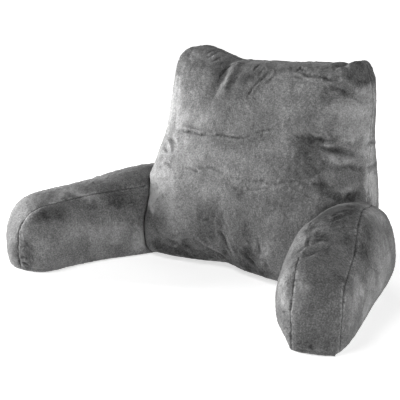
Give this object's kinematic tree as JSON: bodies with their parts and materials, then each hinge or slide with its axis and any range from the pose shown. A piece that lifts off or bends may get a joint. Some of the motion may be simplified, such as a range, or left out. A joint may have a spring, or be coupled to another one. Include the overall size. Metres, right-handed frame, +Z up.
{
  "type": "reading pillow with arms",
  "caption": "Plush reading pillow: a leaning stuffed backrest with full corners and two stuffed arms that splay forward from its sides.",
  "frame": {"origin": "on the surface it stands on, under the backrest: midway between its sides and near the middle of its base, front to back", "axes": "+Z up, +Y towards the rear of the backrest, -Y the way the arms reach, +X towards the arm on the right as seen from the front"},
  "size_m": [0.9209, 0.5641, 0.463],
  "materials": {
    "grey_plush": "short crushed plush, matte with a pale sheen at the rims"
  },
  "bodies": {
    "root": {"backrest": "grey_plush", "arm_left": "grey_plush", "arm_right": "grey_plush"}
  },
  "joints": []
}
